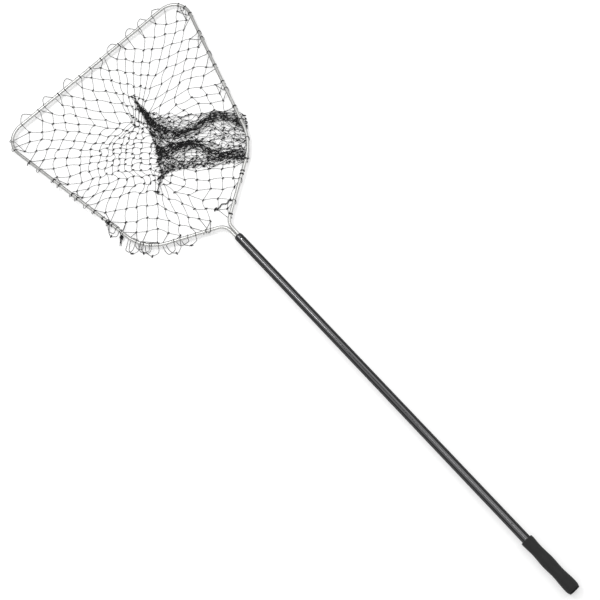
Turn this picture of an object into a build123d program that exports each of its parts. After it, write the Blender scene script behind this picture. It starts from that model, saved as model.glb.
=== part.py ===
import os

from build123d import *

# Landing net: a long tube handle, and a hoop with a knotted bag that plugs into it.
# Millimetres. Origin: centre of the butt cap's rear face. +Y runs along the handle to the
# hoop, +X is the hoop's long right side, +Z is up, and the net lies flat on the ground.

# ---- driving dimensions ----
handle_length = 1325.0          # butt face to the collar's front face
tube_r = 12.7                   # one inch tube
tube_wall = 1.5
collar_length = 6.0
collar_r = tube_r - 0.4
yoke_gap = 48.0                 # collar front to where the two rear bars would meet
rod_r = 5.0                     # hoop tube, 10 mm outside
rod_wall = 1.2
running_gap = 0.3               # between pieces that move past each other
fit_gap = 0.1                   # between fixed pieces that slip together

mouth_y = handle_length - collar_length
yoke_y = handle_length + yoke_gap

# Hoop corners, seen from above, before rounding, as (x, distance ahead of the yoke)
front_left = (-331.0, 721.0)
front_right = (399.0, 709.0)
rear_right = (225.0, 155.0)
rear_left = (-228.0, 115.0)
front_bend_r = 60.0
rear_right_bend_r = 180.0
rear_left_bend_r = 140.0
leg_bend_r = 38.0

# Insert that fills the handle's mouth
plug_length = 110.0
plug_end_wall = 6.0             # closed rear end of the insert
plug_r = tube_r - tube_wall - 0.2
pin_r = 1.5
pin_half_length = 8.6
pin_y = mouth_y - 84.0

# Snap button, standing up through the tube
button_y = mouth_y - 14.7
button_r = 3.0
button_flange_r = 4.0
button_flange_low = 9.2
button_flange_t = 0.7
button_shoulder = 13.0          # where the dome begins
button_top = 14.3
dome_mid = (2.16, 13.94)        # a point half way round the dome: radius, height
pocket_half_width = 4.5
pocket_roof = 10.1
pocket_behind = 38.0            # pocket length behind the button
pocket_ahead = 7.0

# Leaf spring under the button
leaf_t = 0.5
leaf_width = 8.0
leaf_foot_z = rod_r + leaf_t / 2 + 0.05
leaf_crest_z = button_flange_low - leaf_t / 2 - 0.05

# Grip and butt cap
grip_length = 168.0
pommel_r = 18.5
lip_r = 17.0
lip_chamfer = 1.2
cap_flange_r = 16.0
cap_flange_t = 4.0
cap_edge_r = 2.4
cap_spigot_length = 20.0
cap_spigot_wall = 2.0
drain_hole_r = 1.5
drain_hole_y = grip_length + 52.0

# Netting
ground_z = -pommel_r
twine_r = 0.9
wrap_r = rod_r + twine_r + running_gap      # twine centre round the rod
skirt_t = 2.5
skirt_spill = 6.0               # how far the netting lies outside the rod's centreline
fold_height = 28.0
loop_count = 46
first_loop = 0.078              # shares of the hoop tube's length, from the left leg's end
last_loop = 0.918
side_slack = 8.5                # how far a side loop hangs below the rod
front_slack = 31.0              # how far a front loop lies outside the rod
tie_slack = 0.5                 # the tight turns of the two ties
rear_tie_shares = (0.9065, 0.9108)
rim_tie_shares = (0.1785, 0.181, 0.1835)
tail_r = 2.2
tail_z = ground_z + skirt_t + tail_r + 0.2
tie_knot_r = 3.8
tie_knot_z = ground_z + skirt_t + tie_knot_r + 0.2
tangle_r = 6.5
tangle_x = -254.0
tangle_ahead = 201.0
tangle_z = -9.0


def across(y):
    # A plane square to the handle at y, whose normal runs along +Y
    return Plane(origin=(0, y, 0), x_dir=(-1, 0, 0), z_dir=(0, 1, 0))


def hoop_point(corner):
    return (corner[0], yoke_y + corner[1])


def rear_bar_meets_leg(corner, leg_x):
    # Where the straight line from a rear corner to the yoke crosses a leg
    return (leg_x, yoke_y + corner[1] * leg_x / corner[0])


# ---- handle ----
with BuildPart() as handle_tube:
    with BuildSketch(across(cap_flange_t)):
        Circle(tube_r)
        Circle(tube_r - tube_wall, mode=Mode.SUBTRACT)
    extrude(amount=mouth_y - cap_flange_t)
    with BuildSketch(Plane.XY):
        with Locations((0, button_y)):
            Circle(button_r + running_gap)
        with Locations((0, drain_hole_y)):
            Circle(drain_hole_r)
    extrude(amount=tube_r + 1, mode=Mode.SUBTRACT)
handle_tube.part.label = "handle_tube"

# Outline from the butt to the front lip: pommel, waist, belly, neck, lip
with BuildPart() as grip:
    with BuildSketch(Plane.XY):
        with BuildLine():
            outline = Spline(
                (cap_flange_r + 0.3, cap_flange_t),
                (pommel_r, 17),
                (16.4, 60),
                (17.8, 92),
                (16.2, 138),
                (lip_r, grip_length - lip_chamfer),
                tangents=[(0.6, 1), (-0.3, 1)],
                tangent_scalars=[0.8, 0.5],
            )
            Polyline(
                outline @ 1,
                (lip_r - lip_chamfer, grip_length),
                (tube_r, grip_length),
                (tube_r, cap_flange_t),
                outline @ 0,
            )
        make_face()
    revolve(axis=Axis.Y)
grip.part.label = "grip"

with BuildPart() as butt_cap:
    with BuildSketch(across(0)):
        Circle(cap_flange_r)
    extrude(amount=cap_flange_t)
    fillet(butt_cap.edges().sort_by(Axis.Y)[0], radius=cap_edge_r)
    with BuildSketch(across(cap_flange_t)):
        Circle(tube_r - tube_wall)
        Circle(tube_r - tube_wall - cap_spigot_wall, mode=Mode.SUBTRACT)
    extrude(amount=cap_spigot_length)
    chamfer(butt_cap.edges().sort_by(Axis.Y)[-1], length=0.6)
butt_cap.part.label = "butt_cap"

# ---- hoop ----
leg_end_y = mouth_y - plug_length + plug_end_wall
leg_centres = [(-rod_r, 0), (rod_r, 0)]                 # in a plane across the handle
pin_centres = [(-rod_r, pin_y), (rod_r, pin_y)]         # seen from above
with BuildLine() as hoop_route:
    FilletPolyline(
        (-rod_r, leg_end_y),
        rear_bar_meets_leg(rear_left, -rod_r),
        hoop_point(rear_left),
        hoop_point(front_left),
        hoop_point(front_right),
        hoop_point(rear_right),
        rear_bar_meets_leg(rear_right, rod_r),
        (rod_r, leg_end_y),
        radius=[leg_bend_r, rear_left_bend_r, front_bend_r, front_bend_r, rear_right_bend_r, leg_bend_r],
    )
hoop_wire = hoop_route.wires()[0]

with BuildPart() as hoop:
    with BuildSketch(Plane(origin=hoop_wire @ 0, z_dir=hoop_wire % 0)):
        Circle(rod_r)
        Circle(rod_r - rod_wall, mode=Mode.SUBTRACT)
    sweep(path=hoop_wire)
    with BuildSketch(Plane.XY.offset(-tube_r)):
        with Locations(*pin_centres):
            Circle(pin_r + fit_gap)
    extrude(amount=2 * tube_r, mode=Mode.SUBTRACT)
hoop.part.label = "hoop"

with BuildPart() as leg_collar:
    with BuildSketch(across(mouth_y)):
        Circle(collar_r)
        with Locations(*leg_centres):
            Circle(rod_r + fit_gap, mode=Mode.SUBTRACT)
    extrude(amount=collar_length)
    front_rim = leg_collar.edges().filter_by(GeomType.CIRCLE).sort_by(SortBy.RADIUS)[-2:].sort_by(Axis.Y)[-1]
    fillet(front_rim, radius=1.5)
leg_collar.part.label = "leg_collar"

# The whole insert, with a channel for each leg and holes for the cross pins, before it is
# split into its two halves
with BuildPart() as plug_blank:
    with BuildSketch(across(mouth_y - plug_length)):
        Circle(plug_r)
    extrude(amount=plug_length)
    with BuildSketch(across(leg_end_y)):
        with Locations(*leg_centres):
            Circle(rod_r + fit_gap)
    extrude(amount=plug_length - plug_end_wall, mode=Mode.SUBTRACT)
    with BuildSketch(Plane.XY.offset(-plug_r)):
        with Locations(*pin_centres):
            Circle(pin_r + fit_gap)
    extrude(amount=2 * plug_r, mode=Mode.SUBTRACT)

with BuildPart() as plug_upper:
    add(plug_blank.part)
    split(bisect_by=Plane.XY, keep=Keep.TOP)
    with BuildSketch(Plane.XY):
        with Locations((0, button_y + (pocket_ahead - pocket_behind) / 2)):
            Rectangle(2 * pocket_half_width, pocket_ahead + pocket_behind)
    extrude(amount=pocket_roof, mode=Mode.SUBTRACT)
    with BuildSketch(Plane.XY):
        with Locations((0, button_y)):
            Circle(button_r + running_gap)
    extrude(amount=plug_r, mode=Mode.SUBTRACT)
plug_upper.part.label = "plug_upper"

with BuildPart() as plug_lower:
    add(plug_blank.part)
    split(bisect_by=Plane.XY, keep=Keep.BOTTOM)
plug_lower.part.label = "plug_lower"

with BuildPart() as leg_pins:
    with BuildSketch(Plane.XY.offset(-pin_half_length)):
        with Locations(*pin_centres):
            Circle(pin_r)
    extrude(amount=2 * pin_half_length)
leg_pins.part.label = "leg_pins"

# ---- snap button and its leaf spring ----
with BuildPart() as snap_button:
    with BuildSketch(Plane(origin=(0, button_y, 0), x_dir=(1, 0, 0), z_dir=(0, -1, 0))):
        with BuildLine():
            dome = ThreePointArc((0, button_top), dome_mid, (button_r, button_shoulder))
            Polyline(
                dome @ 1,
                (button_r, button_flange_low + button_flange_t),
                (button_flange_r, button_flange_low + button_flange_t),
                (button_flange_r, button_flange_low),
                (0, button_flange_low),
                dome @ 0,
            )
        make_face()
    revolve(axis=Axis((0, button_y, 0), (0, 0, 1)))
snap_button.part.label = "snap_button"

with BuildPart() as button_spring:
    with BuildSketch(Plane.YZ):
        with BuildLine():
            FilletPolyline(
                (button_y - pocket_behind + 2, leaf_foot_z),
                (button_y - 26, leaf_foot_z),
                (button_y - 7, leaf_crest_z),
                (button_y + 5, leaf_crest_z),
                radius=12,
            )
        trace(line_width=leaf_t)
    extrude(amount=leaf_width / 2, both=True)
button_spring.part.label = "button_spring"

# ---- netting ----
with BuildPart() as net_skirt:
    with BuildSketch(Plane.XY.offset(ground_z)):
        with BuildLine():
            FilletPolyline(
                (0, yoke_y + 30),
                hoop_point(rear_right),
                hoop_point(front_right),
                hoop_point(front_left),
                hoop_point(rear_left),
                radius=[25, rear_right_bend_r, front_bend_r, front_bend_r, rear_left_bend_r],
                close=True,
            )
        make_face()
        offset(amount=skirt_spill)
    extrude(amount=skirt_t)
net_skirt.part.label = "net_skirt"

# The bunched bag: a low mound, from two gathered points on the left to the rear right bend
with BuildPart() as net_fold:
    with BuildSketch(Plane.XY.offset(ground_z + skirt_t)):
        with BuildLine():
            FilletPolyline(
                (60, yoke_y + 508),
                (14, yoke_y + 400),
                (-84, yoke_y + 242),
                (30, yoke_y + 198),
                (128, yoke_y + 190),
                (190, yoke_y + 165),
                (262, yoke_y + 292),
                (190, yoke_y + 340),
                radius=[10, 80, 12, 60, 60, 25, 25, 60],
                close=True,
            )
        make_face()
    extrude(amount=fold_height, taper=38)
net_fold.part.label = "net_fold"


def ring_on_rod(share, slack, outward, down):
    # One closed loop of twine round the rod, at a share of the hoop tube's length: half a turn
    # over the rod, two straight sides, and half a turn where it holds the next knot
    along = hoop_wire % share
    out = Vector(-along.Y, along.X, 0).normalized()
    lean = out * outward + Vector(0, 0, -down)
    with BuildPart() as ring:
        with BuildLine(Plane(origin=hoop_wire @ share, x_dir=lean, z_dir=along)) as route:
            over = CenterArc((0, 0), wrap_r, 90, 180)
            under = CenterArc((slack, 0), wrap_r, -90, 180)
            Line(over @ 1, under @ 0)
            Line(under @ 1, over @ 0)
        with BuildSketch(Plane(origin=over @ 0, z_dir=over % 0)):
            Circle(twine_r)
        sweep(path=route.wires()[0])
    return ring.part


# The mesh row that hangs on the hoop: long loops lie outside the front bar, short ones hang
# under the sides, and both stay clear of the sheet of netting
rings = []
for number in range(loop_count):
    share = first_loop + (last_loop - first_loop) * number / (loop_count - 1)
    if (hoop_wire % share).X > 0.9:
        rings.append(ring_on_rod(share, front_slack, outward=0.94, down=0.34))
    else:
        rings.append(ring_on_rod(share, side_slack, outward=0, down=1))

with BuildPart() as rim_loops:
    add(rings)
rim_loops.part.label = "rim_loops"

# Doubled twine that gathers the netting to the right leg: two turns on the rod, and a twisted
# tail down to a knot on the sheet
tail_wraps = [ring_on_rod(share, tie_slack, outward=0, down=1) for share in rear_tie_shares]
with BuildPart() as rear_tie:
    add(tail_wraps)
    with BuildLine(Plane.XY.offset(tail_z)) as tail_route:
        FilletPolyline(
            (66, yoke_y + 56),
            (46, yoke_y + 66),
            (24, yoke_y + 66),
            (7, yoke_y + 71),
            radius=20,
        )
    tail_wire = tail_route.wires()[0]
    with BuildSketch(Plane(origin=tail_wire @ 0, z_dir=tail_wire % 0)):
        Circle(tail_r)
    sweep(path=tail_wire)
    with Locations((7, yoke_y + 71, tie_knot_z)):
        Sphere(tie_knot_r)
rear_tie.part.label = "rear_tie"

# Tangle of knotted twine ends outside the left bar, hanging from three turns on the rod
tangle_wraps = [ring_on_rod(share, tie_slack, outward=0, down=1) for share in rim_tie_shares]
with BuildPart() as rim_tie:
    add(tangle_wraps)
    with Locations((tangle_x, yoke_y + tangle_ahead, tangle_z)):
        Sphere(tangle_r)
rim_tie.part.label = "rim_tie"

os.makedirs("parts", exist_ok=True)
for piece in (
    handle_tube, grip, butt_cap, hoop, leg_collar, plug_upper, plug_lower, leg_pins,
    snap_button, button_spring, rim_loops, net_skirt, net_fold, rear_tie, rim_tie,
):
    export_step(piece.part, f"parts/{piece.part.label}.step")
print("hoop tube length", round(hoop_wire.length, 1))
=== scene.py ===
import math

import bpy
import numpy as np
from mathutils import Matrix, Vector


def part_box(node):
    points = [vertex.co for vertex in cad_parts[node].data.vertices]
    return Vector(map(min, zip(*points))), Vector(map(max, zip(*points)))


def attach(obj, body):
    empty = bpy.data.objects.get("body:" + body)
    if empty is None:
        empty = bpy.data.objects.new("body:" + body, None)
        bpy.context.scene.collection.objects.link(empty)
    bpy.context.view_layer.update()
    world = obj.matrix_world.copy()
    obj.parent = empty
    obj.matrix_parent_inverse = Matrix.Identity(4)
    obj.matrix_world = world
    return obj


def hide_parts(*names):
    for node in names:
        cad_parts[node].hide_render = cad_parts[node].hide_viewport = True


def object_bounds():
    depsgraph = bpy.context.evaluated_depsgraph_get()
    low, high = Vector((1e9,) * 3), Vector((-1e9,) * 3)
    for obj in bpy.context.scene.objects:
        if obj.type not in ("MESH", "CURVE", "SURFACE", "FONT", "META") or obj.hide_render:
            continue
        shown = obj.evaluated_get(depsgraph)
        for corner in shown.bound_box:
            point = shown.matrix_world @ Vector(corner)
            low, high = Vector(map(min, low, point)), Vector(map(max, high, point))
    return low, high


# Landing net, in metres, in the CAD model's frame: +Y along the handle to the hoop, +X the
# hoop's right side, +Z up. The net lies on the ground.
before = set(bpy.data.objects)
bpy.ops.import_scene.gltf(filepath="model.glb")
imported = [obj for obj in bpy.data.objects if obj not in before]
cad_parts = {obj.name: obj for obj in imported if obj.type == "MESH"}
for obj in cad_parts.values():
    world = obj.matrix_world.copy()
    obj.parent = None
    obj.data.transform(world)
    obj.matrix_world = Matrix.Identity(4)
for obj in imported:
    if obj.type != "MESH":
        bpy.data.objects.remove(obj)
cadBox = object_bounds()
bpy.ops.object.select_all(action="DESELECT")
print("frame loaded:", len(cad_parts), "nodes")

yokeAhead = 0.048        # the rear bars would meet this far ahead of the collar
yoke = np.array([0.0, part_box("leg_collar")[1].y + yokeAhead, 0.0])
groundZ = cadBox[0].z
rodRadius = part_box("hoop")[1].z
dice = np.random.default_rng(7)


# The camera's place is counted from the yoke
cameraPlan = {"lens": 60, "place": (-0.243, -1.201, 2.673), "sight": (0.087, 0.312, -0.948),
              "up": (0.665, 0.689, 0.285)}


def addCamera():
    data = bpy.data.cameras.new("camera")
    data.lens = cameraPlan["lens"]
    camera = bpy.data.objects.new("camera", data)
    bpy.context.scene.collection.objects.link(camera)
    back = -Vector(cameraPlan["sight"]).normalized()
    up = Vector(cameraPlan["up"])
    up = (up - back * up.dot(back)).normalized()
    turn = Matrix((up.cross(back), up, back)).transposed()
    place = Vector(yoke) + Vector(cameraPlan["place"])
    camera.matrix_world = Matrix.Translation(place) @ turn.to_4x4()
    bpy.context.scene.camera = camera
    bpy.context.scene.view_settings.view_transform = "Standard"


# A white floor that glows a little
studio = {"floorSize": 80.0, "floorTone": 0.75, "floorRoughness": 0.9, "floorShine": 0.1,
          "floorGlow": 0.34, "floorGap": 0.0002, "skyStrength": 0.30}
# Every lamp: power, width, length, its place and the point it faces
lamps = {
    "farStrip": (34.0, 0.42, 1.3, (-0.35, 2.45, 3.2), (-0.3, 2.2, 0)),
    "nearStrip": (12.0, 0.45, 1.2, (-0.12, 0.45, 3.2), (-0.1, 0.6, 0)),
    "softbox": (66.0, 3.0, 4.0, (1.9, 1.1, 3.4), (0.1, 1.1, 0)),
    "fillBox": (40.0, 3.0, 4.0, (-2.1, 1.1, 3.4), (-0.3, 1.1, 0)),
}


def addAreaLight(name, power, width, length, place, target):
    data = bpy.data.lights.new(name, "AREA")
    data.energy, data.shape = power, "RECTANGLE"
    data.size, data.size_y = width, length
    light = bpy.data.objects.new(name, data)
    back = (Vector(place) - Vector(target)).normalized()
    side = Vector((0, 1, 0)).cross(back).normalized()
    turn = Matrix((side, back.cross(side), back)).transposed()
    light.matrix_world = Matrix.Translation(place) @ turn.to_4x4()
    bpy.context.scene.collection.objects.link(light)


def addStudio():
    bpy.ops.mesh.primitive_plane_add(size=studio["floorSize"],
                                     location=(0, yoke[1], groundZ - studio["floorGap"]))
    floor = bpy.context.object
    floor.name = "floor"
    paper = bpy.data.materials.new("studioPaper")
    paper.use_nodes = True
    shader = paper.node_tree.nodes["Principled BSDF"]
    tone = studio["floorTone"]
    shader.inputs["Base Color"].default_value = (tone, tone, tone, 1)
    shader.inputs["Roughness"].default_value = studio["floorRoughness"]
    shader.inputs["Specular IOR Level"].default_value = studio["floorShine"]
    shader.inputs["Emission Color"].default_value = (1, 1, 1, 1)
    shader.inputs["Emission Strength"].default_value = studio["floorGlow"]
    floor.data.materials.append(paper)
    floor.select_set(False)
    world = bpy.data.worlds.new("softWhite")
    bpy.context.scene.world = world
    world.use_nodes = True
    world.node_tree.nodes["Background"].inputs["Color"].default_value = (1, 1, 1, 1)
    world.node_tree.nodes["Background"].inputs["Strength"].default_value = studio["skyStrength"]
    for name, lamp in lamps.items():
        addAreaLight(name, *lamp)


addCamera()
addStudio()
print("camera and studio ready")


# Node groups that more than one material uses
def newGroup(name, inputs, outputs):
    group = bpy.data.node_groups.new(name, "ShaderNodeTree")
    for label, kind, value in inputs:
        socket = group.interface.new_socket(label, in_out="INPUT", socket_type=kind)
        if value is not None:
            socket.default_value = value
    for label, kind in outputs:
        group.interface.new_socket(label, in_out="OUTPUT", socket_type=kind)
    entry = group.nodes.new("NodeGroupInput")
    leave = group.nodes.new("NodeGroupOutput")
    return group, entry, leave


def addMath(tree, operation, first, second):
    node = tree.nodes.new("ShaderNodeMath")
    node.operation = operation
    for number, value in enumerate((first, second)):
        if isinstance(value, (int, float)):
            node.inputs[number].default_value = value
        else:
            tree.links.new(value, node.inputs[number])
    return node.outputs[0]


def addNoise(tree, vector, scale, detail):
    node = tree.nodes.new("ShaderNodeTexNoise")
    tree.links.new(vector, node.inputs["Vector"])
    if isinstance(scale, (int, float)):
        node.inputs["Scale"].default_value = scale
    else:
        tree.links.new(scale, node.inputs["Scale"])
    node.inputs["Detail"].default_value = detail
    return node.outputs["Fac"]


def addRange(tree, value, low, high, outLow, outHigh):
    node = tree.nodes.new("ShaderNodeMapRange")
    tree.links.new(value, node.inputs["Value"])
    for label, number in (("From Min", low), ("From Max", high), ("To Min", outLow),
                          ("To Max", outHigh)):
        if isinstance(number, (int, float)):
            node.inputs[label].default_value = number
        else:
            tree.links.new(number, node.inputs[label])
    return node.outputs["Result"]


# Fine moulded or cast grain: a height for bump, and a mottle for colour and gloss
grainGroup, entry, leave = newGroup(
    "mouldGrain",
    [("Vector", "NodeSocketVector", None), ("Grain Scale", "NodeSocketFloat", 900.0)],
    [("Height", "NodeSocketFloat"), ("Mottle", "NodeSocketFloat")])
fine = addNoise(grainGroup, entry.outputs["Vector"], entry.outputs["Grain Scale"], 3.0)
broad = addNoise(grainGroup, entry.outputs["Vector"], 38.0, 4.0)
grainGroup.links.new(addRange(grainGroup, fine, 0.3, 0.7, 0.0, 1.0), leave.inputs["Height"])
grainGroup.links.new(addRange(grainGroup, broad, 0.3, 0.7, 0.0, 1.0), leave.inputs["Mottle"])

# Rub marks: sparse bright streaks along the piece, drawn out by the mapping's stretch
rubGroup, entry, leave = newGroup(
    "rubMarks",
    [("Vector", "NodeSocketVector", None), ("Mark Scale", "NodeSocketFloat", 60.0),
     ("Threshold", "NodeSocketFloat", 0.6)],
    [("Mask", "NodeSocketFloat"), ("Streak", "NodeSocketFloat")])
streak = addNoise(rubGroup, entry.outputs["Vector"], entry.outputs["Mark Scale"], 5.0)
patch = addNoise(rubGroup, entry.outputs["Vector"], 6.0, 2.0)
edge = addMath(rubGroup, "ADD", entry.outputs["Threshold"], 0.12)
marks = addRange(rubGroup, streak, entry.outputs["Threshold"], edge, 0.0, 1.0)
where = addRange(rubGroup, patch, 0.45, 0.62, 0.0, 1.0)
rubGroup.links.new(addMath(rubGroup, "MULTIPLY", marks, where), leave.inputs["Mask"])
rubGroup.links.new(addRange(rubGroup, streak, 0.3, 0.7, 0.0, 1.0), leave.inputs["Streak"])

# Laid strands of a twine: ridges that wind round the UV's length
strandGroup, entry, leave = newGroup(
    "laidStrands",
    [("UV", "NodeSocketVector", None), ("Strands", "NodeSocketFloat", 3.0),
     ("Turns", "NodeSocketFloat", 1.0)],
    [("Height", "NodeSocketFloat")])
split = strandGroup.nodes.new("ShaderNodeSeparateXYZ")
strandGroup.links.new(entry.outputs["UV"], split.inputs[0])
wound = addMath(strandGroup, "MULTIPLY", split.outputs["Y"], entry.outputs["Turns"])
phase = addMath(strandGroup, "ADD", split.outputs["X"], wound)
phase = addMath(strandGroup, "MULTIPLY", phase, entry.outputs["Strands"])
phase = addMath(strandGroup, "MULTIPLY", phase, math.pi)
ridge = addMath(strandGroup, "ABSOLUTE", addMath(strandGroup, "SINE", phase, 0.0), 0.0)
strandGroup.links.new(ridge, leave.inputs["Height"])
print("shader groups ready")


def startMaterial(name, roughness, metallic=0.0):
    material = bpy.data.materials.new(name)
    material.use_nodes = True
    tree = material.node_tree
    shader = tree.nodes["Principled BSDF"]
    shader.inputs["Roughness"].default_value = roughness
    shader.inputs["Metallic"].default_value = metallic
    return material, tree, shader


def mappedVector(tree, source="Object", stretch=(1, 1, 1)):
    coordinates = tree.nodes.new("ShaderNodeTexCoord")
    mapping = tree.nodes.new("ShaderNodeMapping")
    mapping.inputs["Scale"].default_value = stretch
    tree.links.new(coordinates.outputs[source], mapping.inputs["Vector"])
    return mapping.outputs["Vector"]


def addGroupNode(tree, group, **values):
    node = tree.nodes.new("ShaderNodeGroup")
    node.node_tree = group
    for label, value in values.items():
        socket = node.inputs[label.replace("_", " ")]
        if isinstance(value, (int, float)):
            socket.default_value = value
        else:
            tree.links.new(value, socket)
    return node


def mixColours(tree, shader, factor, first, second):
    mix = tree.nodes.new("ShaderNodeMix")
    mix.data_type = "RGBA"
    tree.links.new(factor, mix.inputs["Factor"])
    mix.inputs["A"].default_value = (*first, 1)
    mix.inputs["B"].default_value = (*second, 1)
    tree.links.new(mix.outputs["Result"], shader.inputs["Base Color"])
    return mix


def addBump(tree, shader, height, strength, distance):
    bump = tree.nodes.new("ShaderNodeBump")
    bump.inputs["Strength"].default_value = strength
    bump.inputs["Distance"].default_value = distance
    tree.links.new(height, bump.inputs["Height"])
    tree.links.new(bump.outputs["Normal"], shader.inputs["Normal"])


def rubbedMetal(name, plain, rubbed, roughness, metallic, scale, threshold, stretch, rimTone=1.0,
                relief=0.06):
    # Drawn or turned metal: streaks along its length, with a few paler rub marks
    material, tree, shader = startMaterial(name, roughness[0], metallic)
    shader.inputs["Specular Tint"].default_value = (rimTone, rimTone, rimTone, 1)
    marks = addGroupNode(tree, rubGroup, Vector=mappedVector(tree, stretch=stretch), Mark_Scale=scale,
                         Threshold=threshold)
    mixColours(tree, shader, marks.outputs["Mask"], plain, rubbed)
    gloss = addRange(tree, marks.outputs["Streak"], 0.0, 1.0, roughness[0], roughness[1])
    tree.links.new(gloss, shader.inputs["Roughness"])
    addBump(tree, shader, marks.outputs["Streak"], relief, 0.0001)
    return material


def mouldedPolymer(name, plain, worn, roughness, grain, strength, gleam=0.5):
    # Moulded rubber or plastic: fine grain in the surface and a soft mottle in colour and gloss
    material, tree, shader = startMaterial(name, roughness[0])
    shader.inputs["Specular IOR Level"].default_value = gleam
    surface = addGroupNode(tree, grainGroup, Vector=mappedVector(tree), Grain_Scale=grain)
    mixColours(tree, shader, surface.outputs["Mottle"], plain, worn)
    gloss = addRange(tree, surface.outputs["Mottle"], 0.0, 1.0, roughness[0], roughness[1])
    tree.links.new(gloss, shader.inputs["Roughness"])
    addBump(tree, shader, surface.outputs["Height"], strength, 0.0003)
    return material


twineLook = {"coated": (0.004, 0.004, 0.0045), "thinned": (0.018, 0.018, 0.019), "grain": 420.0,
             "strands": 3.0, "turns": 1.0, "roughness": (0.5, 0.7), "gleam": 0.3, "relief": 0.7}


def coatedTwine():
    # Laid nylon twine with a black coating, paler where the coating has thinned
    look = twineLook
    material, tree, shader = startMaterial("netTwine", look["roughness"][0])
    strands = addGroupNode(tree, strandGroup, UV=mappedVector(tree, "UV"), Strands=look["strands"],
                           Turns=look["turns"])
    surface = addGroupNode(tree, grainGroup, Vector=mappedVector(tree), Grain_Scale=look["grain"])
    blend = addMath(tree, "MULTIPLY", surface.outputs["Mottle"], strands.outputs["Height"])
    mixColours(tree, shader, blend, look["coated"], look["thinned"])
    shader.inputs["Specular IOR Level"].default_value = look["gleam"]
    gloss = addRange(tree, surface.outputs["Mottle"], 0.0, 1.0, *look["roughness"])
    tree.links.new(gloss, shader.inputs["Roughness"])
    addBump(tree, shader, strands.outputs["Height"], look["relief"], 0.0002)
    return material


along = (1, 0.06, 1)     # draws a pattern out along the handle
evenly = (1, 1, 1)
twineMaterial = coatedTwine()
# Each CAD piece's finish: plain and worn colour, roughness from and to, then what the finish needs
finishes = {
    "handle_tube": rubbedMetal("handleAnodised", (0.080, 0.080, 0.082), (0.125, 0.125, 0.127),
                               (0.11, 0.14), 1.0, 260.0, 0.62, along, rimTone=0.08, relief=0.008),
    "grip": mouldedPolymer("gripRubber", (0.008, 0.008, 0.0082), (0.013, 0.013, 0.013),
                           (0.7, 0.84), 1100.0, 0.5),
    # The butt cap is black plastic, made darker and less reflective than the grip, so its end is partly
    # painted shade for the grip's rounded end
    "butt_cap": mouldedPolymer("capPlasticPaintedShade", (0.0015, 0.0015, 0.0015), (0.003, 0.003, 0.003),
                               (0.3, 0.4), 300.0, 0.06, gleam=0.12),
    "hoop": rubbedMetal("hoopAluminium", (0.60, 0.60, 0.59), (0.70, 0.70, 0.69),
                        (0.38, 0.50), 1.0, 120.0, 0.6, evenly, rimTone=0.4),
    "leg_collar": mouldedPolymer("collarPlastic", (0.012, 0.012, 0.013), (0.022, 0.022, 0.023),
                                 (0.32, 0.46), 900.0, 0.2),
    "plug_upper": mouldedPolymer("plugPlastic", (0.018, 0.018, 0.019), (0.03, 0.03, 0.031),
                                 (0.42, 0.55), 900.0, 0.25),
    "leg_pins": rubbedMetal("pinSteel", (0.45, 0.45, 0.46), (0.62, 0.62, 0.62),
                            (0.24, 0.36), 1.0, 500.0, 0.6, evenly),
    "snap_button": rubbedMetal("buttonSteel", (0.68, 0.68, 0.69), (0.85, 0.85, 0.85),
                               (0.1, 0.2), 1.0, 400.0, 0.62, evenly),
    "button_spring": rubbedMetal("springSteel", (0.3, 0.31, 0.33), (0.5, 0.5, 0.52),
                                 (0.24, 0.36), 1.0, 300.0, 0.6, along),
}
finishes["plug_lower"] = finishes["plug_upper"]
for nodeName, finish in finishes.items():
    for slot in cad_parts[nodeName].material_slots:
        slot.material = finish
print("materials set on", len(finishes), "CAD nodes")


# The hoop's centreline: its corners before rounding, counted from the yoke, and the bend at each
hoopRoute = {
    "corners": [(-0.005, 0.0025), (-0.228, 0.115), (-0.331, 0.721), (0.399, 0.709), (0.225, 0.155),
                (0.005, 0.0034)],
    "bends": [0.038, 0.140, 0.060, 0.060, 0.180, 0.038],
    "legs": -0.06,          # the route starts and ends this far behind the yoke
    "step": 0.004,
}


def roundedRoute(corners, bends, step):
    # Straight runs joined by tangent arcs, as points from the yoke in the hoop's plane
    corners = [np.array(corner, float) for corner in corners]
    points = [corners[0]]
    for before, corner, after, radius in zip(corners, corners[1:], corners[2:], bends):
        back = (before - corner) / np.linalg.norm(before - corner)
        ahead = (after - corner) / np.linalg.norm(after - corner)
        half = math.acos(float(back @ ahead)) / 2
        centre = corner + (back + ahead) / np.linalg.norm(back + ahead) * radius / math.sin(half)
        first = corner + back * radius / math.tan(half) - centre
        last = corner + ahead * radius / math.tan(half) - centre
        start = math.atan2(first[1], first[0])
        sweep = (math.atan2(last[1], last[0]) - start + math.pi) % (2 * math.pi) - math.pi
        count = max(3, int(abs(sweep) * radius / step))
        for angle in start + sweep * np.arange(count + 1) / count:
            points.append(centre + radius * np.array([math.cos(angle), math.sin(angle)]))
    points.append(corners[-1])
    return np.array(points)


def travelledAlong(route):
    # How far along a route each of its points is
    return np.concatenate([[0], np.cumsum(np.linalg.norm(np.diff(route, axis=0), axis=1))])


def alongRoute(route, distances):
    travelled = travelledAlong(route)
    return np.stack([np.interp(distances, travelled, route[:, k]) for k in range(route.shape[1])], -1)


def routeLength(route):
    return float(np.linalg.norm(np.diff(route, axis=0), axis=1).sum())


def curveBetween(a, b, c, d, share):
    # A smooth curve from b to c, with a before it and d after it
    return 0.5 * (2 * b + (c - a) * share + (2 * a - 5 * b + 4 * c - d) * share ** 2
                  + (3 * b - a - 3 * c + d) * share ** 3)


legX = hoopRoute["corners"][-1][0]
hoopCorners = [(-legX, hoopRoute["legs"])] + hoopRoute["corners"] + [(legX, hoopRoute["legs"])]
hoopLine = roundedRoute(hoopCorners, hoopRoute["bends"], hoopRoute["step"])
hoopLine = alongRoute(hoopLine, np.arange(0, routeLength(hoopLine), hoopRoute["step"]))
hoopLength = routeLength(hoopLine)


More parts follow.
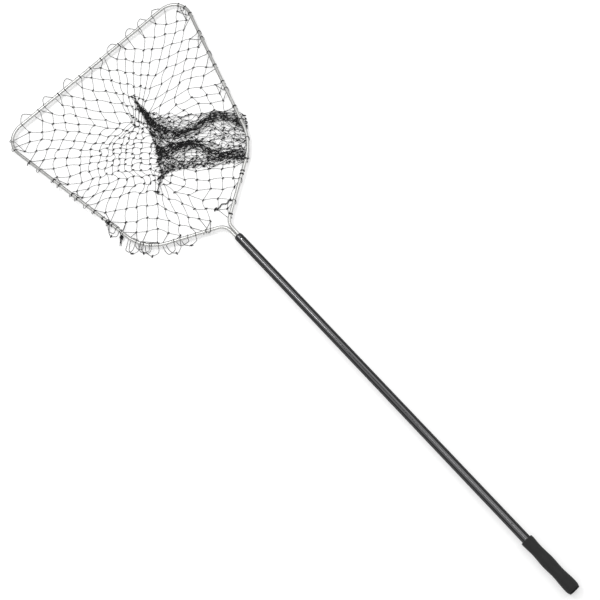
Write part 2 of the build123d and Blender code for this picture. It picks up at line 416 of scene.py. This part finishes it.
# Knotted netting of square meshes. Where it lies in one layer it is a lattice, drawn in towards
# the gathered points, and the rest of the bag is folded over and over in the bunch.
netting = {
    "turn": -41.4,              # degrees from +X to the lattice's first direction
    "shift": (0.35, 0.15),      # where the lattice starts, in cells
    "cell": 0.0332, "bar": 0.0355, "twine": 0.00063, "rimTwine": 0.0009,
    "rimGap": 0.0125,           # first knots lie at least this far inside the rod's centreline
    "bareLeg": 0.078,           # hoop length beside the handle that carries no mesh
    "twineGap": 0.0002,         # twine's clearance over the ground and round the rod
    "firstRow": 0.036,          # no knot lies closer to the yoke than this
    "reach": 17,                # cells laid out each way from the hoop's middle
    "sway": 0.007, "swayWaves": 7, "swayLength": 0.30,      # smooth wander of the whole lattice
    "jitter": 0.0014, "stagger": 0.0021,                    # unevenness from knot to knot
    "bow": 0.055,               # how far a bar in one layer bends, as a share of its length
    "slackShare": 0.3,          # share of a bar's spare length that shows as a bend
    "barLift": 0.0012, "lie": 0.0016, "knotLift": 0.0010,   # heights above the ground
    "knotTurn": 0.3, "knotLean": 0.12,
}
# Where the netting is drawn together: its place from the yoke, the way it opens out, how far
# that reaches, the half width that is drawn in, and by how much
gathers = [
    {"place": (0.052, 0.505), "opens": (0.44, 0.90), "reach": 0.27, "width": 0.105, "squeeze": 0.88},
    {"place": (-0.084, 0.234), "opens": (-0.80, -0.60), "reach": 0.10, "width": 0.065, "squeeze": 0.72},
    {"place": (-0.010, 0.345), "opens": (-0.80, 0.60), "reach": 0.36, "width": 0.170, "squeeze": 0.42},
]
gatherFade = 0.22               # beyond the drawn-in width the netting moves less and less
# Where the meshes lie more closed: place, radius and share
closings = [{"place": (-0.060, 0.440), "radius": 0.23, "share": 0.24},
            {"place": (-0.130, 0.400), "radius": 0.17, "share": 0.12}]


def drawnIn(points):
    for closing in closings:
        offset = points - np.array(closing["place"])
        nearness = np.exp(-(offset ** 2).sum(1) / closing["radius"] ** 2)
        points = points - offset * (closing["share"] * nearness)[:, None]
    for gather in gathers:
        axis = np.array(gather["opens"]) / np.linalg.norm(gather["opens"])
        side = np.array([-axis[1], axis[0]])
        offset = points - np.array(gather["place"])
        ahead, across = offset @ axis, offset @ side
        share = np.where(ahead > 0, 1 - ahead / gather["reach"], 1 + ahead / (0.35 * gather["reach"]))
        squeeze = gather["squeeze"] * np.clip(share, 0, 1) ** 1.3
        width = gather["width"]
        beyond = np.clip(np.abs(across) - width, 0, None)
        shift = np.where(beyond > 0, width * np.exp(-beyond / gatherFade), np.abs(across)) * squeeze
        points = points - np.sign(across)[:, None] * shift[:, None] * side
    return points


def smoothField(points, waves, length, size):
    # A smooth sideways wander, the same at neighbouring points
    total = np.zeros((len(points), 2))
    for _ in range(waves):
        heading, shift = dice.uniform(0, 2 * math.pi, 2)
        pace = 2 * math.pi / (length * dice.uniform(0.7, 1.6))
        phase = points[:, 0] * pace * math.cos(heading) + points[:, 1] * pace * math.sin(heading)
        wave = np.sin(phase + shift)
        turn = dice.uniform(0, 2 * math.pi)
        total += wave[:, None] * np.array([math.cos(turn), math.sin(turn)])
    return total * size / math.sqrt(waves)


def insideHoop(points):
    # Crossing count of a ray to the right, against the closed centreline
    ring = hoopLine
    following = np.roll(ring, -1, axis=0)
    x, y = points[:, :1], points[:, 1:2]
    spans = (ring[:, 1] > y) != (following[:, 1] > y)
    rise = np.where(following[:, 1] == ring[:, 1], 1e-9, following[:, 1] - ring[:, 1])
    crossing = ring[:, 0] + (y - ring[:, 1]) / rise * (following[:, 0] - ring[:, 0])
    return (spans & (x < crossing)).sum(1) % 2 == 1


def nearestOnHoop(points):
    gap = np.linalg.norm(points[:, None] - hoopLine[None], axis=2)
    place = gap.argmin(1)
    return gap[np.arange(len(points)), place], place * hoopRoute["step"]


latticeTurn = math.radians(netting["turn"])
firstWay = np.array([math.cos(latticeTurn), math.sin(latticeTurn)])
secondWay = np.array([-firstWay[1], firstWay[0]])
middle = hoopLine.mean(0)
steps = np.arange(-netting["reach"], netting["reach"] + 1)
cellA, cellB = np.meshgrid(steps, steps, indexing="ij")
cells = np.stack([cellA.ravel() + netting["shift"][0], cellB.ravel() + netting["shift"][1]], 1)
flat = cells * netting["cell"]
latticePoints = middle + flat[:, :1] * firstWay + flat[:, 1:] * secondWay
latticePoints = drawnIn(latticePoints)
latticePoints = latticePoints + smoothField(latticePoints, netting["swayWaves"],
                                            netting["swayLength"], netting["sway"])
latticePoints = latticePoints + dice.normal(0, netting["jitter"], latticePoints.shape)
zigzag = np.where((cellA + cellB).ravel() % 2 == 0, 1.0, -1.0) * netting["stagger"]
latticePoints = latticePoints + zigzag[:, None] * secondWay
rimDistance = nearestOnHoop(latticePoints)[0]
kept = insideHoop(latticePoints) & (rimDistance > netting["rimGap"])
kept &= latticePoints[:, 1] > netting["firstRow"]
side = len(steps)
gridIndex = np.arange(side * side).reshape(side, side)
keptGrid = kept.reshape(side, side)

# Bars join neighbouring knots; a bar that would leave the hoop is a stub that meets the rod
fieldBars, stubs = [], []
for stepA, stepB in ((1, 0), (0, 1), (-1, 0), (0, -1)):
    for a in range(1, side - 1):
        for b in range(1, side - 1):
            if not keptGrid[a, b]:
                continue
            here, there = gridIndex[a, b], gridIndex[a + stepA, b + stepB]
            if keptGrid[a + stepA, b + stepB]:
                if stepA + stepB > 0:
                    fieldBars.append((here, there))
            else:
                reach = latticePoints[here] * 0.4 + latticePoints[there] * 0.6
                stubs.append((float(nearestOnHoop(reach[None])[1][0]), int(here)))
stubs.sort()
# Two stubs that meet the rod side by side are the two ends of one bight of twine round it
bights = []
waiting = []
for place, knot in stubs:
    partner = next((old for old in waiting if old[1] != knot), None)
    if partner is None:
        waiting.append((place, knot))
        continue
    waiting.remove(partner)
    bights.append(((partner[0] + place) / 2, partner[1], knot))
low, high = netting["bareLeg"], hoopLength - netting["bareLeg"]
bights = sorted((min(max(place, low), high), one, two) for place, one, two in bights)
print("single layer:", int(kept.sum()), "knots,", len(fieldBars), "bars,", len(bights), "bights")

# The bunch, seen from above. Each line runs along it, from the gathered side on the left to the
# right bar, and two pairs of lines that lie close together are its ridges.
bunchLines = [
    [(0.065, 0.548), (0.060, 0.481), (0.087, 0.435), (0.142, 0.372), (0.213, 0.316), (0.272, 0.252)],
    [(0.060, 0.528), (0.052, 0.451), (0.067, 0.385), (0.112, 0.332), (0.204, 0.305), (0.255, 0.227)],
    [(0.055, 0.514), (0.043, 0.435), (0.059, 0.367), (0.102, 0.320), (0.196, 0.287), (0.236, 0.199)],
    [(0.048, 0.475), (0.031, 0.396), (0.051, 0.337), (0.096, 0.297), (0.171, 0.249), (0.215, 0.168)],
    [(0.029, 0.410), (0.009, 0.342), (0.047, 0.319), (0.100, 0.277), (0.140, 0.205), (0.199, 0.145)],
    [(0.013, 0.374), (-0.002, 0.318), (0.041, 0.298), (0.092, 0.260), (0.131, 0.186), (0.189, 0.131)],
    [(-0.012, 0.329), (-0.022, 0.291), (0.012, 0.276), (0.061, 0.239), (0.117, 0.201), (0.176, 0.127)],
    [(-0.091, 0.225), (-0.052, 0.260), (-0.016, 0.267), (0.029, 0.232), (0.072, 0.201), (0.141, 0.155)],
]
bunchLines = np.array(bunchLines)
ridgeRows = (1.5, 4.5)          # where the ridges are, counted in lines from the top
bunch = {
    "layers": 2, "rows": 42, "knots": 7,
    "acrossJitter": 0.16, "downJitter": 0.6,                # knots out of line, in knots and rows
    "folds": ((0.035, 5, 2), (0.02, 11, -1)),               # size, pace along, shift for each layer
    "wander": 0.008, "wanderWaves": 6, "wanderLength": 0.11,
    "ragged": 0.26,             # how far the gathered side's rows start late
    "drawn": 0.62,              # how far the rows draw in to a ridge
    "lowest": 0.0016, "thickness": 0.004, "ridgeHeight": 0.013, "ridgeWidth": 0.8,
    "ridgeShare": 0.4, "ridgeStep": 0.3,                    # of the ridge's height, by layer
    "crumple": 0.0024, "curl": 0.0045, "lift": 0.001,
    "bend": (-0.8, 0.8), "rise": (-0.002, 0.004),           # of each bar's middle
}


def blendRows(rows, place):
    # A smooth curve through rows of points, at a place counted in rows
    place = np.clip(place, 0, len(rows) - 1)
    low = np.minimum(np.floor(place).astype(int), len(rows) - 2)
    t = place - low
    near = [rows[np.clip(low + step, 0, len(rows) - 1)] for step in (-1, 0, 1, 2)]
    t = t.reshape(t.shape + (1,) * (near[0].ndim - t.ndim))
    return curveBetween(*near, t)


def bunchPoint(across, down):
    # across runs 0 to 1 along the bunch, down 0 to 1 from its top line to its lowest
    across, down = across.ravel(), down.ravel()
    lines = blendRows(bunchLines, down * (len(bunchLines) - 1))
    places = np.clip(across, 0, 1) * (bunchLines.shape[1] - 1)
    return np.array([blendRows(line, np.array([place]))[0] for line, place in zip(lines, places)])


def foldedLayer(layer):
    # Closed meshes that run along the bunch, row beside row
    rows, knots = bunch["rows"], bunch["knots"]
    row, knot = np.meshgrid(np.arange(rows), np.arange(knots), indexing="ij")
    sideJitter, rowJitter = bunch["acrossJitter"], bunch["downJitter"]
    across = (knot + 0.5 * (row % 2) + dice.uniform(-sideJitter, sideJitter, row.shape)) / (knots - 0.5)
    down = (row + dice.uniform(-rowJitter, rowJitter, row.shape)) / (rows - 1)
    folds = sum(size * np.sin(pace * across + shift * layer) for size, pace, shift in bunch["folds"])
    down = down + folds * 4 * down * (1 - down)
    late = (1 - across) * dice.uniform(0, bunch["ragged"], row.shape)
    across = across + late * np.sin(math.pi * row / (rows - 1))
    line = down * (len(bunchLines) - 1)
    for ridge in ridgeRows:
        line = line - bunch["drawn"] * (line - ridge) * np.exp(-(line - ridge) ** 2)
    points = bunchPoint(across, line / (len(bunchLines) - 1))
    points = points + smoothField(points, bunch["wanderWaves"], bunch["wanderLength"], bunch["wander"])
    line = line.ravel()
    crest = sum(np.exp(-((line - ridge) / bunch["ridgeWidth"]) ** 2) for ridge in ridgeRows)
    height = bunch["lowest"] + layer * bunch["thickness"]
    height = height + bunch["ridgeHeight"] * crest * (bunch["ridgeShare"] + bunch["ridgeStep"] * layer)
    height = height + dice.uniform(0, bunch["crumple"], len(points))
    bars = []
    for r in range(rows - 1):
        for k in range(knots):
            bars.append((r * knots + k, (r + 1) * knots + k))
            other = k + 1 if r % 2 else k - 1
            if 0 <= other < knots:
                bars.append((r * knots + k, (r + 1) * knots + other))
    return np.column_stack([points, height]), bars


bunchKnots, bunchBars = [], []
for layer in range(bunch["layers"]):
    places, bars = foldedLayer(layer)
    first = sum(len(group) for group in bunchKnots)
    bunchKnots.append(places)
    bunchBars += [(first + one, first + two) for one, two in bars]
bunchKnots = np.concatenate(bunchKnots)
print("bunch:", len(bunchKnots), "knots,", len(bunchBars), "bars")


class TwineWork:
    # Gathers closed twine tubes and copied knots, and turns them into one mesh
    def __init__(self):
        self.points, self.faces, self.uvs, self.total = [], [], [], 0

    def addTube(self, route, radius, sides=6, turnLength=0.004):
        route = np.asarray(route, float)
        count = len(route)
        tangent = np.gradient(route, axis=0)
        tangent /= np.linalg.norm(tangent, axis=1)[:, None] + 1e-12
        frameSide = np.zeros_like(route)
        trial = np.array([0.0, 0.0, 1.0]) if abs(tangent[0, 2]) < 0.8 else np.array([1.0, 0.0, 0.0])
        for k in range(count):
            trial = trial - tangent[k] * (trial @ tangent[k])
            trial = trial / np.linalg.norm(trial)
            frameSide[k] = trial
        frameUp = np.cross(tangent, frameSide)
        angle = 2 * math.pi * np.arange(sides) / sides
        ring = (frameSide[:, None] * np.cos(angle)[None, :, None]
                + frameUp[:, None] * np.sin(angle)[None, :, None])
        self.points.append((route[:, None] + ring * radius).reshape(-1, 3))
        travelled = travelledAlong(route) / turnLength
        for k in range(count - 1):
            for j in range(sides):
                a, b = self.total + k * sides + j, self.total + k * sides + (j + 1) % sides
                self.faces.append((a, b, b + sides, a + sides))
                left, right = j / sides, (j + 1) / sides
                self.uvs += [left, travelled[k], right, travelled[k],
                             right, travelled[k + 1], left, travelled[k + 1]]
        last = self.total + (count - 1) * sides
        self.faces.append(tuple(range(self.total + sides - 1, self.total - 1, -1)))
        self.faces.append(tuple(range(last, last + sides)))
        for end in (travelled[0], travelled[-1]):
            for j in range(sides):
                self.uvs += [j / sides, end]
        self.total += count * sides

    def addCopy(self, shape, place, turn, lean, size):
        points, faces, uvs = shape
        cosTurn, sinTurn = math.cos(turn), math.sin(turn)
        cosLean, sinLean = math.cos(lean), math.sin(lean)
        leanTurn = np.array([[cosLean, 0, -sinLean], [0, 1, 0], [sinLean, 0, cosLean]])
        headTurn = np.array([[cosTurn, -sinTurn, 0], [sinTurn, cosTurn, 0], [0, 0, 1]])
        self.points.append(points * size @ (headTurn @ leanTurn).T + place)
        self.faces += [tuple(corner + self.total for corner in face) for face in faces]
        self.uvs += uvs
        self.total += len(points)

    def finish(self, name, *nodes):
        mesh = bpy.data.meshes.new(name)
        mesh.from_pydata(np.concatenate(self.points).tolist(), [], self.faces)
        mesh.uv_layers.new(name="UVMap").data.foreach_set("uv", self.uvs)
        mesh.shade_smooth()
        piece = bpy.data.objects.new(name, mesh)
        bpy.context.scene.collection.objects.link(piece)
        mesh.materials.append(twineMaterial)
        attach(piece, "head")
        if nodes:
            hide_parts(*nodes)
        print(name + ":", len(mesh.polygons), "faces")


def smoothRoute(points, cuts=4):
    # A curve through every point, cut into short steps
    points = np.asarray(points, float)
    padded = np.concatenate([[2 * points[0] - points[1]], points, [2 * points[-1] - points[-2]]])
    share = np.arange(cuts)[:, None] / cuts
    run = []
    for a, b, c, d in zip(padded, padded[1:], padded[2:], padded[3:]):
        run.append(curveBetween(a, b, c, d, share))
    return np.concatenate(run + [points[-1:]])


# One knot, modelled once: a drawn-out body with a turn of twine round its waist
knotShape = {"bodySides": 7, "bodyRings": 5, "half": (0.0052, 0.0019, 0.0016),
             "turnSides": 8, "turnRadius": 0.0021, "turnTwine": 0.0007, "turnLean": 34,
             "sizes": (0.85, 1.1)}


def modelKnot():
    bpy.ops.mesh.primitive_uv_sphere_add(segments=knotShape["bodySides"],
                                         ring_count=knotShape["bodyRings"], radius=1,
                                         location=(0, 0, 0), rotation=(0, math.radians(90), 0))
    body = bpy.context.object
    bpy.ops.object.transform_apply(location=False, rotation=True, scale=False)
    bpy.ops.object.mode_set(mode="EDIT")
    bpy.ops.mesh.select_all(action="SELECT")
    bpy.ops.transform.resize(value=knotShape["half"], center_override=(0, 0, 0))
    bpy.ops.object.mode_set(mode="OBJECT")
    bpy.ops.mesh.primitive_torus_add(major_segments=knotShape["turnSides"], minor_segments=4,
                                     major_radius=knotShape["turnRadius"],
                                     minor_radius=knotShape["turnTwine"],
                                     rotation=(0, math.radians(90 - knotShape["turnLean"]), 0))
    body.select_set(True)
    bpy.context.view_layer.objects.active = body
    bpy.ops.object.join()
    bpy.ops.object.transform_apply(location=True, rotation=True, scale=True)
    mesh = body.data
    points = np.array([vertex.co for vertex in mesh.vertices])
    faces = [tuple(face.vertices) for face in mesh.polygons]
    layer = mesh.uv_layers.active
    uvs = [value for loop in layer.data for value in loop.uv] if layer else [0.0] * (2 * len(mesh.loops))
    bpy.data.objects.remove(body)
    return points, faces, uvs


def barRoute(start, end, bend, cuts=5):
    # A bar between two knots that bows sideways; bend is a 3-D offset at its middle
    share = np.linspace(0, 1, cuts + 1)[:, None]
    return start + (end - start) * share + bend * 4 * share * (1 - share)


def sagOf(length, slack):
    # How far a twine bows between two points when it is longer than their distance by the slack
    return math.sqrt(0.375 * length * slack)


underRod = {"gap": 0.0006, "margin": 0.004}     # how far below the rod, and how far to its sides


def clearOfRod(points):
    # Twine that passes under the hoop stays below the rod
    gap, _ = nearestOnHoop(points[:, :2] - yoke[:2])
    limit = -rodRadius - twineRadius - underRod["gap"]
    reach = rodRadius + underRod["margin"]
    capped = np.where(gap < reach, np.minimum(points[:, 2], limit), points[:, 2])
    return np.column_stack([points[:, :2], capped])


knotModel = modelKnot()
twineRadius = netting["twine"]
rimRadius = netting["rimTwine"]
lieZ = groundZ + twineRadius + netting["twineGap"]
fieldHeights = np.full(len(latticePoints), lieZ + netting["lie"])
fieldPlaces = np.column_stack([latticePoints + yoke[:2], fieldHeights])

field = TwineWork()
for one, two in fieldBars:
    start, end = fieldPlaces[one], fieldPlaces[two]
    run = end - start
    length = np.linalg.norm(run)
    across = np.array([-run[1], run[0], 0]) / length
    slack = max(netting["bar"] - length, 0)
    bow = dice.normal(0, netting["bow"]) * length
    bow += np.sign(dice.uniform(-1, 1)) * netting["slackShare"] * sagOf(length, slack)
    route = barRoute(start, end, across * bow)
    route[1:-1, 2] += dice.uniform(0, netting["barLift"])
    field.addTube(route, twineRadius)
barHeading = {}
for one, two in fieldBars:
    run = fieldPlaces[two] - fieldPlaces[one]
    barHeading.setdefault(one, []).append(math.atan2(run[1], run[0]))
for knot in np.nonzero(kept)[0]:
    headings = barHeading.get(knot, [latticeTurn])
    turn = headings[0] + math.radians(45 if len(headings) > 1 else 0)
    turn += dice.normal(0, netting["knotTurn"])
    field.addCopy(knotModel, fieldPlaces[knot] + (0, 0, netting["knotLift"]), turn,
                  dice.normal(0, netting["knotLean"]), dice.uniform(*knotShape["sizes"]))
field.finish("net_field", "net_skirt")

heap = TwineWork()
bunchHeights = bunchKnots[:, 2] + groundZ + twineRadius + bunch["lift"]
bunchPlaces = np.column_stack([bunchKnots[:, :2] + yoke[:2], bunchHeights])
bunchPlaces = clearOfRod(bunchPlaces)
for one, two in bunchBars:
    start, end = bunchPlaces[one], bunchPlaces[two]
    run = end - start
    length = max(np.linalg.norm(run), 1e-4)
    across = np.array([-run[1], run[0], 0]) / length
    slack = max(netting["bar"] - length, 0.001)
    bow = sagOf(length, slack) * dice.uniform(*bunch["bend"])
    route = barRoute(start, end, across * bow + np.array([0, 0, dice.uniform(*bunch["rise"])]), 8)
    share = np.linspace(0, 1, len(route))
    wave = np.sin(2 * math.pi * share) * dice.uniform(-1, 1)
    wave = wave + np.sin(3 * math.pi * share) * dice.uniform(-0.6, 0.6)
    route = route + across * wave[:, None] * bunch["curl"]
    route[:, 2] = np.maximum(route[:, 2], lieZ)
    heap.addTube(clearOfRod(route), twineRadius)
for place in bunchPlaces:
    heap.addCopy(knotModel, place, latticeTurn + dice.normal(0.4, 0.5), dice.normal(0, 0.3),
                 dice.uniform(*knotShape["sizes"]))
heap.finish("net_bunch", "net_fold")

wrapRadius = rodRadius + rimRadius + netting["twineGap"]
# For each kind of bight: half its width, how far out it lies, how far down, and the roundness of
# its arch
bightKinds = {
    "front": {"half": (0.020, 0.025), "out": (0.031, 0.040), "drop": 0.0165, "corner": 1.35},
    "spill": {"half": (0.017, 0.025), "out": (0.022, 0.036), "drop": 0.0165, "corner": 1.9},
    "hook": {"half": (0.004, 0.008), "out": (0.008, 0.012), "drop": 0.006, "corner": 1.35},
    "wrap": {"half": (0.004, 0.006), "out": (0.0, 0.0), "drop": 0.003, "corner": 1.35},
}
# Arches lie on the bar that faces ahead, hooks on the bar that faces left, and the netting spills
# over the rear left bar; the other bights are plain wraps
rim = {"plainShare": 0.10, "skew": 0.25, "frontFacing": 0.8, "sideFacing": -0.7, "spillFrom": -0.09,
       "spillBefore": 0.26, "apexKnot": 1.1, "apexLift": 0.0009}


def rodFrame(place):
    # A point on the centreline, the way along it and the way out of the hoop
    here, before, after = alongRoute(hoopLine, np.array([place, place - 0.003, place + 0.003]))
    ahead = (after - before) / np.linalg.norm(after - before)
    return here, ahead, np.array([-ahead[1], ahead[0]])


def onRod(place, offset, out, height):
    here, ahead, outward = rodFrame(place + offset)
    flatPoint = here + outward * out + yoke[:2]
    return np.array([flatPoint[0], flatPoint[1], height])


def bightRoute(place, half, out, drop, turns, corner):
    # Over the rod, out to an arch, and back under the rod
    r = wrapRadius
    route = [onRod(place, -half, -r * 1.25, -r * 0.9), onRod(place, -half, -r * 0.95, r * 0.3),
             onRod(place, -half, 0, r), onRod(place, -half + 0.001, r * 0.9, r * 0.45)]
    for turn in range(turns):
        for angle in range(0, 360, 60):
            wound = math.radians(angle - 30)
            route.append(onRod(place, -half + 0.002 * turn + 0.002 * angle / 360, r * math.cos(wound),
                               -r * math.sin(wound)))
    if out > 2 * r:
        # An arch with a rounded corner, as the outermost mesh has when it lies over the rod
        for share in (-0.84, -0.5, 0.0, 0.5, 0.84):
            sideways = share + rim["skew"] * (1 - abs(share)) * dice.uniform(-1, 1)
            reach = (1 - abs(share) ** corner) ** (1 / corner) * dice.uniform(0.92, 1.06)
            height = -drop * min(1, 0.5 + share / 2 + 0.4)
            route.append(onRod(place, sideways * half, r + (out - r) * reach, height))
    elif out > r * 1.05:
        route += [onRod(place, -half * 0.4, out, -drop * 0.3),
                  onRod(place, half * 0.4, out, -drop * 0.7)]
    route += [onRod(place, half, r * 0.9, -r * 0.75), onRod(place, half, 0, -r * 1.02),
              onRod(place, half, -r * 1.0, -r * 1.05)]
    return route


def bightKind(place, number):
    # What a bight looks like depends on which bar it hangs on
    here, ahead, outward = rodFrame(place)
    if outward[1] > rim["frontFacing"]:
        arched = number % 2 and dice.uniform() > rim["plainShare"] or number % 7 == 2
        return ("front", 0) if arched else ("wrap", 1)
    if here[0] < rim["spillFrom"] and here[1] < rim["spillBefore"]:
        return "spill", 0
    if outward[0] < rim["sideFacing"]:
        return "hook", int(dice.integers(0, 2))
    return "wrap", int(dice.integers(0, 3))


rimWork = TwineWork()
for number, (place, one, two) in enumerate(bights):
    kind, turns = bightKind(place, number)
    shape = bightKinds[kind]
    half, out = dice.uniform(*shape["half"]), dice.uniform(*shape["out"])
    onePlace, twoPlace = nearestOnHoop(latticePoints[[one, two]])[1]
    if onePlace > twoPlace:
        one, two = two, one
    middlePart = bightRoute(place, half, out, shape["drop"], turns, shape["corner"])
    if kind == "spill":
        nextPlace, nextOut = place + half * dice.uniform(0.3, 0.9), out * dice.uniform(0.6, 1.1)
        middlePart += bightRoute(nextPlace, half * 0.8, nextOut, shape["drop"], 0, shape["corner"])
        apex = onRod(place, 0, out, rim["apexLift"] - shape["drop"])
        rimWork.addCopy(knotModel, apex, dice.uniform(0, math.pi), 0.1, rim["apexKnot"])
    route = [fieldPlaces[one]] + middlePart + [fieldPlaces[two]]
    rimWork.addTube(smoothRoute(route), rimRadius)
rimWork.finish("rim_bights", "rim_loops")

# The wraps are shares of the hoop's length; the routes and knots are counted from the yoke
rearTie = {
    "wraps": (0.9065, 0.9108), "wrapTurns": 1.6, "wrapPitch": 0.0022,
    "route": [(0.066, 0.052), (0.054, 0.063), (0.043, 0.060), (0.031, 0.069), (0.019, 0.066),
              (0.007, 0.070)],
    "lift": 0.0026, "strandGap": 0.0016, "pitch": 0.012, "strand": 0.0010,
    "knot": (0.007, 0.070), "knotLift": 0.0042, "knotRadius": 0.0034, "knotLoops": 7, "knotSize": 1.5,
}
rimTie = {
    "wraps": (0.1745, 0.1785, 0.181, 0.1835, 0.190), "wrapTurns": 1.3, "wrapPitch": 0.0026,
    "clump": (-0.254, 0.201), "clumpZ": -0.0095, "clumpRadius": 0.0058, "loops": 15, "knotSize": 1.8,
    "links": (-0.004, 0.003),       # twines from the clump over the rod, either side of it
    "ends": 4, "endHeading": (2.2, 4.6), "endLength": (0.014, 0.026), "endBend": 0.009,
}


def coilOnRod(share, turns, pitch):
    start = share * routeLength(hoopLine)
    angles = np.arange(0, 360 * turns + 1, 30)
    route = []
    for angle in angles:
        wound = math.radians(angle)
        route.append(onRod(start, pitch * angle / 360, wrapRadius * math.cos(wound),
                           wrapRadius * math.sin(wound)))
    return route


def twistedPair(work, route, gap, pitch, radius):
    line = smoothRoute(route, 10)
    tangent = np.gradient(line, axis=0)
    tangent /= np.linalg.norm(tangent, axis=1)[:, None]
    sideWay = np.cross(tangent, (0, 0, 1.0))
    upWay = np.cross(sideWay, tangent)
    for start in (0, math.pi):
        wound = 2 * math.pi * travelledAlong(line) / pitch + start
        offset = (sideWay * np.cos(wound)[:, None] + upWay * np.sin(wound)[:, None]) * gap
        work.addTube(line + offset, radius)


def tangle(work, centre, radius, loops, flatness=0.75):
    # Twine wound on itself: turns that lean every way round one small lump
    for loop in range(loops):
        normal = dice.normal(0, 1, 3)
        normal /= np.linalg.norm(normal)
        one = np.cross(normal, (0.3, 0.5, 0.81))
        one /= np.linalg.norm(one)
        two = np.cross(normal, one)
        angles = np.linspace(0, 2 * math.pi * dice.uniform(0.6, 0.95), 9)
        size = radius * dice.uniform(0.75, 1.0)
        ring = size * (np.cos(angles)[:, None] * one + np.sin(angles)[:, None] * two)
        work.addTube(smoothRoute(centre + ring * (1, 1, flatness), 2), rimRadius)


rearWork = TwineWork()
for share in rearTie["wraps"]:
    coil = coilOnRod(share, rearTie["wrapTurns"], rearTie["wrapPitch"])
    rearWork.addTube(smoothRoute(coil, 2), rimRadius)
tieLine = [(x + yoke[0], y + yoke[1], lieZ + rearTie["lift"]) for x, y in rearTie["route"]]
twistedPair(rearWork, tieLine, rearTie["strandGap"], rearTie["pitch"], rearTie["strand"])
tieKnot = np.array([rearTie["knot"][0], rearTie["knot"][1] + yoke[1], groundZ + rearTie["knotLift"]])
tangle(rearWork, tieKnot, rearTie["knotRadius"], rearTie["knotLoops"])
rearWork.addCopy(knotModel, tieKnot, 0.4, 0.0, rearTie["knotSize"])
rearWork.finish("rear_tie_twine", "rear_tie")

rimKnotWork = TwineWork()
for share in rimTie["wraps"]:
    coil = coilOnRod(share, rimTie["wrapTurns"], rimTie["wrapPitch"])
    rimKnotWork.addTube(smoothRoute(coil, 2), rimRadius)
clump = np.array([rimTie["clump"][0], rimTie["clump"][1] + yoke[1], rimTie["clumpZ"]])
tangle(rimKnotWork, clump, rimTie["clumpRadius"], rimTie["loops"])
# Each link goes from the clump over the rod to the netting's nearest knot
tiePlace = nearestOnHoop(clump[None, :2] - yoke[:2])[1][0]
keptPlaces = fieldPlaces[np.nonzero(kept)[0]]
for offset in rimTie["links"]:
    outer = onRod(tiePlace, offset, wrapRadius, 0)
    upper = onRod(tiePlace, offset, 0, wrapRadius)
    inner = onRod(tiePlace, offset, -wrapRadius, -0.002)
    knot = keptPlaces[np.linalg.norm(keptPlaces - inner, axis=1).argmin()]
    rimKnotWork.addTube(smoothRoute([clump, outer, upper, inner, knot]), rimRadius)
for number in range(rimTie["ends"]):
    heading = dice.uniform(*rimTie["endHeading"])
    out = np.array([math.cos(heading), math.sin(heading), 0])
    tip = clump + out * dice.uniform(*rimTie["endLength"])
    tip[2] = groundZ + rimRadius + 0.0003
    bend = clump + out * rimTie["endBend"]
    bend = bend + (dice.uniform(-0.004, 0.004), dice.uniform(-0.004, 0.004), 0.001)
    rimKnotWork.addTube(smoothRoute([clump, bend, tip], 4), rimRadius)
rimKnotWork.addCopy(knotModel, clump, 1.1, 0.2, rimTie["knotSize"])
rimKnotWork.finish("rim_tie_twine", "rim_tie")
